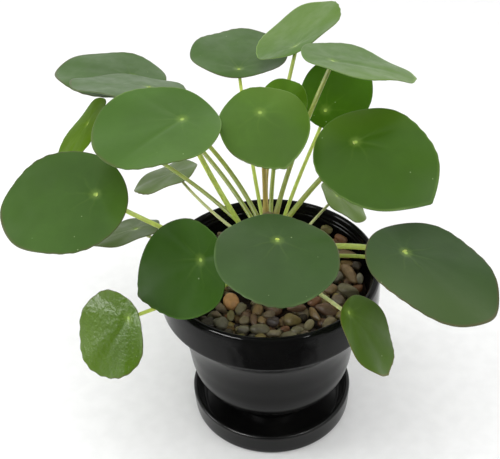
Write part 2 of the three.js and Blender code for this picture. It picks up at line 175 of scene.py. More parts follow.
# ---- Looks -----------------------------------

# Each tone: the blade's green, the colour of its thin margin, and its index of refraction.
LEAF_TONES = {
    "bright": ("#446616", "#7f9f48", 1.32),
    "main": ("#375714", "#5a4a34", 1.32),
    "fresh": ("#3d6016", "#6f8c40", 1.32),
    "deep": ("#304a1b", "#587438", 1.34),
    "broad": ("#2a4317", "#5a4a34", 1.3),
    "round": ("#38590f", "#6f8c40", 1.26),
    "dark": ("#2f4f10", "#4f7232", 1.14),
    "plain": ("#3c620c", "#5f8a3c", 1.14),
    # A lighter copy of the blade green: painted light on the blade.
    "painted_lit": ("#486d0e", "#7f9f48", 1.18),
    # Its own yellow-green, lightened as painted light shining through the blade.
    "yellow": ("#4e6b10", "#7c8a34", 1.04),
    "olive": ("#5f7a2a", "#6a5a3c", 1.32),
    "dusky": ("#475c22", "#6a5a3c", 1.28),
    "ripe": ("#476318", "#76602f", 1.2),
    "young": ("#486512", "#6a5a3c", 1.3),
}
# What some tones have of their own: lift multiplies red, green and blue for the painted light, a livelier
# green on one side of a blade, navel is the share of the pale spot, gloss the roughness and blisters the
# strength of the puckers.
LEAF_EXTRAS = {
    "main": {"lift": (2.4, 1.9, 3.0)},
    "round": {"lift": (2.4, 1.9, 3.0)},
    "broad": {"lift": (1.8, 1.45, 1.75)},
    "deep": {"navel": 0.45},
    "ripe": {"lift": (1.8, 1.6, 1.7)},
    "young": {"gloss": 0.18, "blisters": 0.3},
}
STALK_TONES = {
    "lime": "#c4d85c",
    "olive": "#9cab48",
    "leafy": "#a6b850",
    "pale": "#c9d08c",
    "tan": "#b9a348",
}
# The tones of each blade and of its stalk.
LOOKS = {
    "rear_left_outer": ("main", "olive"), "rear_left_inner": ("main", "olive"),
    "left_high": ("fresh", "lime"), "left_wide": ("main", "lime"),
    "rear_left_steep": ("yellow", "olive"), "rear_left_small": ("olive", "pale"),
    "left_small": ("dusky", "pale"), "front_left": ("dark", "olive"),
    "front_left_low": ("young", "lime"), "front": ("deep", "lime"), "crown": ("bright", "tan"),
    "crown_small": ("painted_lit", "tan"), "rear": ("main", "lime"), "rear_high": ("bright", "leafy"),
    "rear_right_high": ("bright", "olive"), "rear_right": ("plain", "lime"),
    "right_high": ("round", "olive"), "rear_right_small": ("olive", "pale"),
    "right_wide": ("broad", "leafy"), "front_right_low": ("ripe", "pale"),
    "right_low": ("deep", "leafy"),
}


# ---- Materials -------------------------------

VEINS = 8  # that fan from a blade's navel
CALM_SKIN = 60  # noise scale of a grown blade's slow swells
YOUNG_SKIN = 380  # and of a young blade's puckers
DULL_GLAZE = (0.095, 0.104)  # heights (m) between which the glaze goes from dull to glossy


def colour(text):
    """A Blender colour from a hex string."""
    channels = [int(text[i:i + 2], 16) / 255 for i in (1, 3, 5)]
    linear = [c / 12.92 if c <= 0.04045 else ((c + 0.055) / 1.055) ** 2.4 for c in channels]
    return (*linear, 1)


def scaled(base, *gains):
    """A colour with its channels multiplied, by one gain for all or by one each."""
    gains = gains * 3 if len(gains) == 1 else gains
    return (*(min(1, channel * gain) for channel, gain in zip(base, gains)), 1)


class Finish:
    """A procedural material, with short names for the nodes that the finishes below use."""

    def __init__(self, name, **sockets):
        self.material = bpy.data.materials.new(name)
        self.material.use_nodes = True
        self.tree = self.material.node_tree
        self.shader = self.tree.nodes["Principled BSDF"]
        for socket, value in sockets.items():
            self.shader.inputs[socket.replace("_", " ")].default_value = value
        self.place = self.tree.nodes.new("ShaderNodeTexCoord").outputs["Object"]

    def made(self, base, normal=None, roughness=None):
        """The material, with its last nodes linked to the shader."""
        for socket, value in (("Base Color", base), ("Normal", normal), ("Roughness", roughness)):
            if value is not None:
                self.tree.links.new(value, self.shader.inputs[socket])
        return self.material

    def node(self, kind, *values, output=0, **settings):
        """Adds a node, with settings as its properties and values going to its sockets in order."""
        made = self.tree.nodes.new("ShaderNode" + kind)
        for key, value in settings.items():
            setattr(made, key, value)
        for socket, value in zip(made.inputs, values):
            if isinstance(value, bpy.types.NodeSocket):
                self.tree.links.new(value, socket)
            elif value is not None:
                socket.default_value = value
        return made.outputs[output]

    def math(self, operation, *values):
        return self.node("Math", *values, operation=operation)

    def times(self, first, second):
        return self.math("MULTIPLY", first, second)

    def mix(self, share, first, second, blend="MIX"):
        """Goes from the first colour to the second, each a hex string, a colour or a socket."""
        pair = [colour(each) if isinstance(each, str) else each for each in (first, second)]
        unused = [None] * 5  # the node's sockets for numbers and vectors
        return self.node("Mix", share, *unused, *pair, output=2, data_type="RGBA", blend_type=blend)

    def noise(self, scale, detail=2.0, roughness=0.5, place=None):
        return self.node("TexNoise", place or self.place, None, scale, detail, roughness)

    def cells(self, scale, feature="F1"):
        """Distance to the nearest of scattered points, or to the edge between their cells."""
        return self.node("TexVoronoi", self.place, None, scale, feature=feature)

    def step(self, value, start, end, low=0.0, high=1.0):
        """Goes smoothly from low to high as value goes from start to end."""
        return self.node("MapRange", value, start, end, low, high, interpolation_type="SMOOTHSTEP")

    def patches(self, scale, detail, spread, strength=(0.0, 1.0), roughness=0.5):
        """Soft patches: noise that crosses the spread goes from the lower to the upper strength."""
        return self.step(self.noise(scale, detail, roughness), *spread, *strength)

    def attribute(self, name):
        return self.node("Attribute", attribute_name=name, output=2)

    def bump(self, height, strength, distance, normal=None):
        return self.node("Bump", strength, distance, None, height, normal)


def blade_veins(finish, spread, near, far):
    """The distance from the navel, and the strength of the veins that fan from it to the margin."""
    u = finish.attribute("blade_u")
    v = finish.attribute("blade_v")
    radius = finish.math("SQRT", finish.math("ADD", finish.times(u, u), finish.times(v, v)))
    angle = finish.math("ARCTAN2", v, u)
    wander = finish.times(finish.math("SUBTRACT", finish.noise(55, 2), 0.5), 0.9)
    turns = finish.math("ADD", finish.times(angle, VEINS / TURN), wander)
    off = finish.math("ABSOLUTE", finish.math("SUBTRACT", finish.math("FRACT", turns), 0.5))
    off = finish.times(finish.times(off, TURN / VEINS), radius)
    ahead = finish.step(finish.math("COSINE", angle), -0.6, 0.9, 0.35, 1)
    fade = finish.times(finish.step(radius, near, far, 1, 0.1), ahead)
    return radius, finish.times(finish.step(off, 0.25, spread, 1, 0), fade)


def blade_finish(name, tone, margin, refraction, gloss=0.4, blisters=0.0, navel=0.75,
                 lift=(1.45, 1.3, 0.7)):
    """The upper face: quiet green, painted light on one side and a painted sheen near the margin, a pale
    navel with faint veins, a thin margin and a few specks.
    """
    finish = Finish(name, IOR=refraction, Roughness=gloss)
    base = colour(tone)
    light, shade, painted_light_green = scaled(base, 1.14), scaled(base, 0.9), scaled(base, *lift)
    pale = "#a5c45a"
    reach = finish.attribute("reach")
    radius, vein = blade_veins(finish, 1.1, 5, 24)

    green = finish.mix(finish.patches(32, 3, (0.3, 0.7)), shade, light)
    green = finish.mix(finish.patches(190, 4, (0.35, 0.65), (0, 0.4), 0.7), green, shade)
    green = finish.mix(finish.patches(420, 2, (0.35, 0.75), (0, 0.3)), green, base)
    # Painted sheen: the blade's green lightens towards its margin.
    green = finish.mix(finish.step(reach, 0.45, 1, 0, 0.3), green, light)
    # Painted light: a lighter, livelier green towards one side of the blade.
    green = finish.mix(finish.attribute("painted_light"), green, painted_light_green)
    green = finish.mix(finish.times(vein, 0.03), green, pale)
    green = finish.mix(finish.step(radius, 1.2, 5.5, 0.16, 0), green, pale)
    green = finish.mix(finish.step(radius, 0.5, 1.8, navel, 0), green, "#a6c25c")
    dry = finish.mix(finish.patches(17, 2, (0.45, 0.6), (0, 0.75)), margin, "#4c3c26")
    edge = finish.times(finish.step(reach, 0.968, 0.99), finish.patches(26, 2, (0.35, 0.6), (0.12, 0.5)))
    green = finish.mix(edge, green, dry)
    green = finish.mix(finish.step(finish.cells(80), 0.02, 0.045, 0.5, 0), green, "#b9c99a")

    rough = finish.patches(120, 3, (0.3, 0.75), (gloss - 0.05, gloss + 0.07))
    relief = finish.bump(finish.noise(900, 2), 0.08, 0.0004)
    relief = finish.bump(vein, 0.08, 0.0004, relief)
    skin = finish.noise(YOUNG_SKIN if blisters else CALM_SKIN, 4)
    return finish.made(green, finish.bump(skin, 0.1 + blisters, 0.0012, relief), rough)


def underside_finish():
    """The lower face: paler and duller, with raised veins that meet at the stalk."""
    finish = Finish("blade_underside", Roughness=0.6)
    vein = blade_veins(finish, 1.2, 6, 34)[1]
    net = finish.step(finish.cells(130, "DISTANCE_TO_EDGE"), 0, 0.09, 1, 0)
    green = finish.mix(finish.patches(45, 3, (0.3, 0.7)), "#55703a", "#6a8448")
    green = finish.mix(finish.times(net, 0.2), green, "#8fa468")
    green = finish.mix(finish.times(vein, 0.7), green, "#a3b578")
    relief = finish.bump(net, 0.15, 0.0003)
    return finish.made(green, finish.bump(vein, 0.5, 0.0005, relief))


def stalk_finish(name, tone):
    """A stalk: tan where it leaves the stem, its own tone along it, with fine lengthwise streaks."""
    finish = Finish(name, Roughness=0.42, Subsurface_Weight=0.12, Subsurface_Scale=0.002)
    share = finish.attribute("share")
    base = colour(tone)
    across, lengthwise = finish.times(finish.attribute("turn"), 9.0), finish.times(share, 5.0)
    place = finish.node("CombineXYZ", across, lengthwise, 0.0)
    streak = finish.step(finish.noise(3, 3, 0.5, place), 0.35, 0.7)
    body = finish.mix(streak, scaled(base, 0.82), base)
    body = finish.mix(finish.patches(260, 3, (0.45, 0.7), (0, 0.4)), body, scaled(base, 1.25))
    body = finish.mix(finish.step(share, 0.01, 0.1, 0.55, 0), body, "#9a8040")
    return finish.made(body, finish.bump(streak, 0.15, 0.0003))


def stem_finish():
    """Woody bark, brown with green patches, darker in its hollows."""
    finish = Finish("stem_bark", Roughness=0.75)
    bark = finish.noise(320, 5, 0.65)
    brown = finish.mix(finish.step(bark, 0.3, 0.7), "#4a3a22", "#8a7443")
    green = finish.patches(70, 2, (0.45, 0.65), (0, 0.5))
    return finish.made(finish.mix(green, brown, "#76793c"), finish.bump(bark, 0.5, 0.0008))


def glaze_finish(name, refraction):
    """Black glaze: a smooth skin that waves a little, duller low down, with the odd pinhole and bloom."""
    finish = Finish(name, IOR=refraction)
    bloom = finish.noise(24, 4, 0.6)
    black = finish.mix(finish.step(bloom, 0.35, 0.75), "#0e0e0e", "#151514")
    height = finish.node("SeparateXYZ", finish.place, output=2)
    dull = finish.step(height, *DULL_GLAZE, 0.14, 0)
    rough = finish.math("ADD", finish.step(bloom, 0.3, 0.8, 0.06, 0.12), dull)
    wave = finish.bump(finish.noise(20, 2), 0.09, 0.005)
    pinholes = finish.step(finish.cells(240), 0, 0.06)
    return finish.made(black, finish.bump(pinholes, 0.1, 0.0002, wave), rough)


def stone_finish():
    """River stone: each with its own tone, softly mottled, with fine grain and a matt, rubbed skin."""
    finish = Finish("river_stone", IOR=1.34, Roughness=0.55)
    own = finish.node("Attribute", attribute_name="tone")
    dark = finish.mix(1, own, (0.74, 0.72, 0.7, 1), "MULTIPLY")
    stone = finish.mix(finish.patches(190, 4, (0.3, 0.72), roughness=0.6), dark, own)
    stone = finish.mix(finish.patches(1400, 3, (0.52, 0.75), (0, 0.22), 0.7), stone, "#b8a888")
    rough = finish.patches(500, 2, (0.3, 0.7), (0.4, 0.62))
    return finish.made(stone, finish.bump(finish.noise(1100, 4, 0.65), 0.25, 0.0004), rough)


def soil_finish():
    """Dark crumbly potting soil."""
    finish = Finish("potting_soil", Roughness=0.95)
    crumb = finish.noise(380, 5, 0.7)
    brown = finish.mix(finish.step(crumb, 0.3, 0.7), "#120c08", "#3a2a1c")
    return finish.made(brown, finish.bump(crumb, 0.9, 0.002))


# ---- Mesh helpers ----------------------------

ON_AXIS = 1e-6  # a profile's point nearer to the axis than this lies on it


def add_object(name, data):
    made = bpy.data.objects.new(name, data)
    bpy.context.scene.collection.objects.link(made)
    return made


def make_piece(name, points, faces, materials, replaced, face_material=None):
    """A smooth mesh on the root body that stands for the solids named in replaced. Points are in mm."""
    mesh = bpy.data.meshes.new(name)
    mesh.from_pydata((np.asarray(points) * MM).tolist(), [], faces)
    for material in materials:
        mesh.materials.append(material)
    if face_material is not None:
        mesh.polygons.foreach_set("material_index", face_material)
    mesh.polygons.foreach_set("use_smooth", [True] * len(mesh.polygons))
    mesh.update()
    made = add_object(name, mesh)
    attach(made, "root")
    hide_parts(*replaced)
    return made


def add_values(piece, name, values):
    """Stores one number a vertex, for the piece's material to read."""
    held = piece.data.attributes.new(name, "FLOAT", "POINT")
    held.data.foreach_set("value", np.asarray(values, np.float32))


def add_tones(piece, tones):
    """Stores one colour a vertex, for the piece's material to read."""
    held = piece.data.attributes.new("tone", "FLOAT_COLOR", "POINT")
    held.data.foreach_set("color", np.asarray(tones, np.float32).ravel())


def around(sides):
    """Angles of equal steps round a full turn."""
    return np.arange(sides) / sides * TURN


def unit(vector):
    return vector / np.linalg.norm(vector)


def grid_faces(rows, columns, start=0):
    """Quads between rows of points that close on themselves."""
    return [
        (start + r * columns + c, start + r * columns + (c + 1) % columns,
         start + (r + 1) * columns + (c + 1) % columns, start + (r + 1) * columns + c)
        for r in range(rows - 1) for c in range(columns)
    ]


def close_ends(points, faces, sides, foot, top):
    """Adds a point on the axis at the foot and at the top, with a fan of faces to the nearest row."""
    last = len(points) - sides
    points += [(0, 0, foot), (0, 0, top)]
    faces += [(len(points) - 2, (c + 1) % sides, c) for c in range(sides)]
    faces += [(len(points) - 1, last + c, last + (c + 1) % sides) for c in range(sides)]


def smooth_run(points, steps):
    """A Catmull-Rom run through the points."""
    points = np.asarray(points, float)
    padded = np.vstack([2 * points[0] - points[1], points, 2 * points[-1] - points[-2]])
    run = []
    for t in np.linspace(0, len(points) - 1, steps + 1):
        i = min(int(t), len(points) - 2)
        f = t - i
        a, b, c, d = padded[i:i + 4]
        run.append(0.5 * (2 * b + (c - a) * f + (2 * a - 5 * b + 4 * c - d) * f * f
                          + (3 * b - a - 3 * c + d) * f ** 3))
    return [tuple(p) for p in run]


def softened(profile, cut):
    """The profile with each corner turned into a small curve that starts at most cut from it."""
    profile = [np.array(p, float) for p in profile]
    run = [profile[0]]
    for before, corner, after in zip(profile, profile[1:], profile[2:]):
        to_before, to_after = before - corner, after - corner
        near = min(cut, np.linalg.norm(to_before) / 2.1, np.linalg.norm(to_after) / 2.1)
        start = corner + unit(to_before) * near
        end = corner + unit(to_after) * near
        for t in (0, 0.25, 0.5, 0.75, 1):
            run.append((1 - t) ** 2 * start + 2 * t * (1 - t) * corner + t * t * end)
    run.append(profile[-1])
    return run


def turned(profile, sides=144):
    """Points and faces of a profile of (radius, height) turned about Z.

    The profile starts and ends on the axis, or else closes on itself.
    """
    angles = around(sides)
    rows = [(r, z) for r, z in profile if r > ON_AXIS]
    points = [(r * math.cos(a), r * math.sin(a), z) for r, z in rows for a in angles]
    faces = grid_faces(len(rows), sides)
    if profile[0][0] > ON_AXIS:
        last = (len(rows) - 1) * sides
        faces += [(last + c, last + (c + 1) % sides, (c + 1) % sides, c) for c in range(sides)]
    else:
        close_ends(points, faces, sides, profile[0][1], profile[-1][1])
    return points, faces


# ---- Pot and saucer --------------------------

SAUCER_SOFTNESS = 1.2  # how far from a corner its curve starts
POT_SOFTNESS = 0.9


def make_saucer(glaze):
    """A dish with an upright wall and a rounded rim."""
    outer = SAUCER_RADIUS
    profile = softened([
        (1, 0), (outer - 2.2, 0), (outer - 1, 1.6), (outer - 0.6, 5), (outer - 0.2, 14),
        (outer, 16.4), (outer - 0.7, 17.6), (outer - 2, SAUCER_HEIGHT), (outer - 3.3, 17.6),
        (outer - 3.9, 16.2), (outer - 4.6, 13), (outer - 6, 7), (outer - 9, SAUCER_FLOOR), (1, SAUCER_FLOOR),
    ], SAUCER_SOFTNESS)
    points, faces = turned([(0, 0), *profile, (0, SAUCER_FLOOR)])
    make_piece("glazed_saucer", points, faces, [glaze], ["saucer"])


def make_pot(glaze):
    """The pot's skin: up the outside, over the lip and down the inside, which has two small ridges."""
    outer = POT_RADIUS
    foot = [(DRAIN_RADIUS, 6), (FOOT_RADIUS - 5, 6), (FOOT_RADIUS - 4, POT_BASE), (FOOT_RADIUS, POT_BASE)]
    body = [(FOOT_RADIUS, 9.5), *smooth_run(BODY_OUTLINE, 40)]
    collar = [(outer - 0.4, COLLAR_FOOT), (outer, 105), (outer, 118)]
    lip = [
        (outer - 0.2, 126.2), (outer - 1, 128.6), (outer - 2.7, POT_TOP - 0.1), (outer - 4.3, 129.4),
        (outer - 5.3, 127.6), (outer - 5.7, 125.4),
    ]
    ridges = [(69, 124.2), (69.3, 122.6), (68.5, 121.6), (68.9, 118)]
    inside = [*smooth_run(INNER_WALL, 24)[::-1], (DRAIN_RADIUS, INNER_WALL[0][1])]
    points, faces = turned(softened(foot + body + collar + lip + ridges + inside, POT_SOFTNESS))
    make_piece("glazed_pot", points, faces, [glaze], ["pot"])


# ---- Stones ----------------------------------

STONE_TONES = {
    "grey": "#7f7a69", "olive_grey": "#7f785c", "olive": "#7b7249", "olive_yellow": "#8c7c4b",
    "grey_brown": "#786954", "brown": "#765b44", "tan": "#94794f", "tan_grey": "#8d7f60",
    "reddish": "#865c3e", "pinkish": "#8c7454", "pale": "#9c9070", "purple": "#463a36",
    "dark": "#463d33",
}

# Stones that lie in plain sight: middle, half length, half width, half height (mm), compass
# direction of the length (degrees) and tone.
SEEN_STONES = [
    (-19.5, -28.5, 6.3, 3.6, 3, 70, "olive_grey"), (-26, -35.5, 4.8, 2.8, 2.6, 95, "olive"),
    (-32.5, -42.5, 6, 5.2, 4.2, 170, "grey"), (-33, -28, 5.6, 3.2, 3, 120, "grey_brown"),
    (-35, -34.5, 4.2, 2.6, 2.4, 150, "grey_brown"), (-15.5, -36, 4.2, 3.2, 3, 0, "brown"),
    (-17, -41, 4.2, 3.8, 3.2, 90, "tan_grey"), (-11, -41, 6, 2.6, 2.6, 95, "brown"),
    (-8.5, -30.5, 6, 3.9, 3.2, 80, "tan"), (-0.5, -35.5, 4.4, 3.8, 3, 20, "grey_brown"),
    (-5.5, -41.5, 3.6, 2.9, 2.6, 90, "tan"), (-7, -49.5, 7, 4.2, 3.6, 0, "olive_grey"),
    (-18, -49, 4.6, 2.8, 2.6, 0, "grey"), (2, -42.5, 5, 4.4, 3.2, 90, "purple"),
    (3.5, -53, 4.8, 2.4, 2.2, 175, "pale"), (14.5, -40.5, 6.1, 5.8, 4.2, 0, "olive_yellow"),
    (17.5, -29.5, 6.8, 3.4, 3, 0, "brown"), (29.5, -24, 5, 4.4, 3.6, 30, "reddish"),
    (29, -36.5, 7.2, 3, 3, 115, "tan"), (37, -31.5, 8, 4.2, 4, 155, "brown"),
    (25, -46.5, 4.8, 3.1, 2.6, 60, "pale"), (17.5, -51, 4.8, 3.3, 2.8, 10, "olive_grey"),
    (9.5, -49.5, 3.2, 2.4, 2.2, 0, "reddish"), (53, -13, 8.4, 6, 4.8, 150, "olive_grey"),
    (55, 5, 11.5, 4.3, 3.8, 113, "pinkish"), (46.5, 2, 5.4, 4.2, 3.4, 90, "grey"),
    (41, -11.5, 5, 4, 3.2, 10, "pinkish"), (45.5, -22.5, 5.2, 4.4, 3.4, 160, "grey_brown"),
    (47.5, 39, 5.8, 4.4, 3.8, 20, "reddish"), (39, 47, 5.6, 4.2, 3.6, 150, "grey"),
    (54.5, 25.5, 8, 3.2, 3.2, 165, "pinkish"), (61, 13, 4.6, 3.2, 2.8, 95, "dark"),
    (61.5, -1.5, 4.4, 2.9, 2.8, 90, "grey"), (22, 60, 4.2, 2.9, 2.6, 0, "pale"),
    (-34.5, 51, 3.2, 2.5, 2.4, 0, "pale"), (-37.5, 46, 3.8, 3, 2.8, 90, "purple"),
]
SEEN_HEIGHT = 115.2  # of their middles
# Stones that lie on others by the wall: middle, half sizes (mm), compass direction and tone.
PERCHED_STONES = [
    ((42, 49.5, 118.6), (4.8, 3.6, 3.3), 140, "olive"),
    ((51.5, 39, 118.4), (5.8, 3.4, 3.4), 128, "reddish"),
]
PERCHED_TIP = 0.1
STONE_FLATS = 5  # worn on each stone
FLAT_DEPTH = (0.55, 0.84)  # how far out a flat lies, against the stone's radius
CROWDED = 0.75  # a pebble this near to a seen one, against their breadths, sinks
SINK = 3.5
FILLERS = 260  # small stones between and under the pebbles
FILLER_LENGTH = (2.6, 4.4)
FILLER_HEIGHT = (108, 113)
BED_RADIUS = 62
AMBER_TONE = "#dca56e"


def round_stone(detail):
    """Points and faces of a unit sphere made of triangles."""
    sphere = bmesh.new()
    bmesh.ops.create_icosphere(sphere, subdivisions=detail, radius=1)
    points = np.array([vertex.co for vertex in sphere.verts])
    faces = [tuple(vertex.index for vertex in face.verts) for face in sphere.faces]
    sphere.free()
    return points, faces


def worn(points, dice):
    """A unit sphere worn into a pebble: a few soft flats and a slow wobble."""
    points = points.copy()
    for _ in range(STONE_FLATS):
        flat = unit(dice.normal(size=3))
        depth = dice.uniform(*FLAT_DEPTH)
        points -= np.outer(np.maximum(points @ flat - depth, 0) * 0.75, flat)
    offset = Vector(dice.uniform(-50, 50, 3))
    wobble = [noise.noise(Vector(p) * 1.3 + offset) for p in points]
    return points * (1 + 0.13 * np.array(wobble))[:, None]


def set_stone(points, at, sizes, turn, tip):
    """Scales a unit stone, tips it about Y, turns it about Z and puts it in place."""
    pose = Matrix.Translation(at) @ Matrix.Rotation(turn, 4, "Z") @ Matrix.Rotation(tip, 4, "Y")
    pose = np.array(pose @ Matrix.Diagonal((*sizes, 1)))
    return points @ pose[:3, :3].T + pose[:3, 3]


def random_source(seed):
    """The solids' seeded random numbers in 0..1."""
    state = seed
    while True:
        state = (state * 1664525 + 1013904223) % 4294967296
        yield state / 4294967296


def pebble_places():
    """The solids' pebbles: centre, half sizes, turn and tip of each."""
    rolls = random_source(PEBBLE_SEED)
    round_it, out = PEBBLE_SPREAD

    def between(limits):
        return limits[0] + (limits[1] - limits[0]) * next(rolls)

    for ring, count in PEBBLE_RINGS:
        for i in range(count):
            angle = (i + round_it * next(rolls)) / count * TURN
            radius = ring + out * (next(rolls) - 0.5)
            long = between(PEBBLE_LENGTH)
            sizes = (long, long * between(PEBBLE_BREADTH), long * between(PEBBLE_THICKNESS))
            height = BED_TOP + sizes[2] * between(PEBBLE_LIFT)
            at = (radius * math.cos(angle), radius * math.sin(angle), height)
            turn = next(rolls) * math.pi
            tip = between(PEBBLE_TIP)
            if math.dist(at, AMBER_AT) > AMBER_SIZE[1] + long:
                yield at, sizes, turn, tip


def make_pebbles(material):
    """The stones in plain sight, the other pebbles of the top layer, and smaller ones between them."""
    dice = np.random.default_rng(11)
    fine, rough = round_stone(3), round_stone(2)
    palette = list(STONE_TONES)
    points, faces, tones = [], [], []

    def add(sphere, place, tone=None):
        unit_points, unit_faces = sphere
        start = sum(len(p) for p in points)
        points.append(set_stone(worn(unit_points, dice), *place))
        faces.extend([tuple(start + v for v in face) for face in unit_faces])
        own = np.array(colour(STONE_TONES[tone or palette[dice.integers(len(palette))]]))
        own[:3] *= dice.uniform(0.85 if tone else 0.75, 1.1)
        tones.append(np.tile(own, (len(unit_points), 1)))

    for x, y, long, wide, high, turn, tone in SEEN_STONES:
        at = (x, y, SEEN_HEIGHT + dice.uniform(-0.5, 0.5))
        add(fine, (at, (long, wide, high), math.radians(turn), dice.uniform(-0.12, 0.12)), tone)
    for (x, y, z), sizes, turn, tip in pebble_places():
        crowded = any(math.hypot(x - seen_x, y - seen_y) < CROWDED * (sizes[1] + wide)
                      for seen_x, seen_y, _, wide, *_ in SEEN_STONES)
        add(fine, ((x, y, z - SINK * crowded), sizes, turn, tip))
    for _ in range(FILLERS):
        angle, radius = dice.uniform(0, TURN), BED_RADIUS * math.sqrt(dice.uniform(0.02, 1))
        long = dice.uniform(*FILLER_LENGTH)
        at = (radius * math.cos(angle), radius * math.sin(angle), dice.uniform(*FILLER_HEIGHT))
        sizes = (long, long * dice.uniform(0.65, 0.9), long * dice.uniform(0.5, 0.8))
        add(rough, (at, sizes, dice.uniform(0, TURN), dice.uniform(-0.6, 0.6)))
    for at, sizes, turn, tone in PERCHED_STONES:
        add(fine, (at, sizes, math.radians(turn), PERCHED_TIP), tone)

    piece = make_piece("gravel", np.vstack(points), faces, [material], ["pebbles"])
    add_tones(piece, np.vstack(tones))


def make_amber_stone(material):
    """The one bright stone, worn only a little."""
    dice = np.random.default_rng(5)
    sphere, faces = round_stone(4)
    points = set_stone(sphere * 0.98 + worn(sphere, dice) * 0.02, AMBER_AT, AMBER_SIZE, AMBER_TURN, 0)
    piece = make_piece("amber_stone", points, faces, [material], ["pebble_amber"])
    add_tones(piece, np.tile(colour(AMBER_TONE), (len(points), 1)))


# ---- Stem ------------------------------------

STEM_SIDES = 32
STEM_ROWS = 70
STEM_CROWN = 5  # height of the stem's rounded top
SCAR_BELOW = 2  # a leaf's scar lies this far under its stalk
BRACTS = 9
BRACT_HEIGHT = (148, 163)


def make_stem(bark):
    """A knobbly stem with leaf scars, and small dry bracts round its top."""
    dice = np.random.default_rng(3)
    sides, rows = STEM_SIDES, STEM_ROWS
    scars = [(leaf.height - SCAR_BELOW, math.atan2(leaf.at[1], leaf.at[0])) for leaf in LEAVES.values()]
    points = []
    for z in np.linspace(STEM_FOOT, STEM_TOP - 1, rows):
        risen = max(0.0, (z - (STEM_TOP - STEM_CROWN)) / STEM_CROWN)
        crown = math.sqrt(max(0.0, 1 - risen ** 2))
        for a in around(sides):
            swell = 0.25 * noise.noise(Vector((math.cos(a) * 2, math.sin(a) * 2, z * 0.25)))
            for height, direction in scars:
                apart = math.remainder(a - direction, TURN)
                swell += 0.3 * math.exp(-((z - height) / 2.2) ** 2 - (apart / 0.5) ** 2)
            radius = (STEM_RADIUS - 0.2 + min(swell, 0.45)) * max(crown, 0.25)
            points.append((radius * math.cos(a), radius * math.sin(a), z))
    faces = grid_faces(rows, sides)
    close_ends(points, faces, sides, STEM_FOOT, STEM_TOP)
    for i in range(BRACTS):
        direction = i / BRACTS * TURN + dice.uniform(-0.2, 0.2)
        add_bract(points, faces, direction, dice.uniform(*BRACT_HEIGHT), dice)
    make_piece("woody_stem", points, faces, [bark], ["stem"])


def add_bract(points, faces, direction, height, dice):
    """A thin pointed scale that stands off the stem."""
    out = np.array([math.cos(direction), math.sin(direction), 0])
    side = np.array([-out[1], out[0], 0])
    long, wide = dice.uniform(6, 8.5), dice.uniform(1.6, 2.3)
    start = len(points)
    steps, thick = 7, 0.35
    for i in range(steps + 1):
        t = i / steps
        rise = np.array([0, 0, height + long * t * (1 - 0.15 * t)])
        centre = out * (5.2 + 1.6 * t + 0.9 * t * t) + rise
        half = wide * (1 - t) ** 0.7 * (0.75 + t) + 0.05
        for across, push in ((-1, 0), (0, thick), (1, 0), (0, -thick)):
            points.append(tuple(centre + side * half * across + out * push * (1 - 0.8 * t)))
    faces += grid_faces(steps + 1, 4, start)
    faces.append((start + 3, start + 2, start + 1, start))
    last = start + steps * 4
    faces.append((last, last + 1, last + 2, last + 3))


# ---- Leaves ----------------------------------

# How far out the rings of a blade's faces lie, from its middle to its margin.
BLADE_REACHES = [
    0.015, 0.04, 0.08, 0.13, 0.2, 0.28, 0.36, 0.44, 0.52, 0.6, 0.68, 0.75, 0.82, 0.88, 0.93, 0.965, 0.99,
]
# The rings of its rounded edge: reach, drop below the upper face, and how far it stands out (mm).
BLADE_EDGE = [(1, 0.06, 0), (1, 0.3, 0.22), (1, 0.58, 0)]
EDGE_THINNING = 0.35  # of a blade at its edge (mm)
SMOOTH_SIDES = 124
SIDES_PER_TOOTH = 6
TOOTH_HEIGHT = 0.008  # as a share of the blade, like the next three
NIBBLE_HEIGHT = 0.007  # of a grown blade's uneven margin
SLOW_SAG = 0.006
QUICK_SAG = 0.004
CORNER_SPREAD = 0.16  # radians round the margin
SWELL_HEIGHT = 0.09  # of low swells of the face
DIMPLE = (0.7, 0.09)  # over the stalk: depth, and radius as a share of the blade
FOLD_START = 8  # a fold has its full depth this far from the navel
PUCKER_HEIGHT = 0.3
PUCKER_SCALE = 0.22
PAINTED_LIGHT_REACH = 0.8  # the painted light is full this far out, as a share of the half length
STALK_STEPS = 56
STALK_SIDES = 14
STALK_HEAD = (0.35, 0.025)  # swelling under the blade: how much thicker, and its share of the stalk
CURVE_SAMPLES = 241


def compass(degrees):
    return np.array([math.cos(math.radians(degrees)), math.sin(math.radians(degrees)), 0])


def blade_axes(leaf):
    """The blade's directions: along it to the tip, across it, and up out of its face."""
    up = compass(leaf.lean) * math.sin(math.radians(leaf.tilt))
    up[2] = math.cos(math.radians(leaf.tilt))
    along = compass(leaf.tip)
    along[2] = -(up @ along) / up[2]
    along = unit(along)
    return along, np.cross(up, along), up


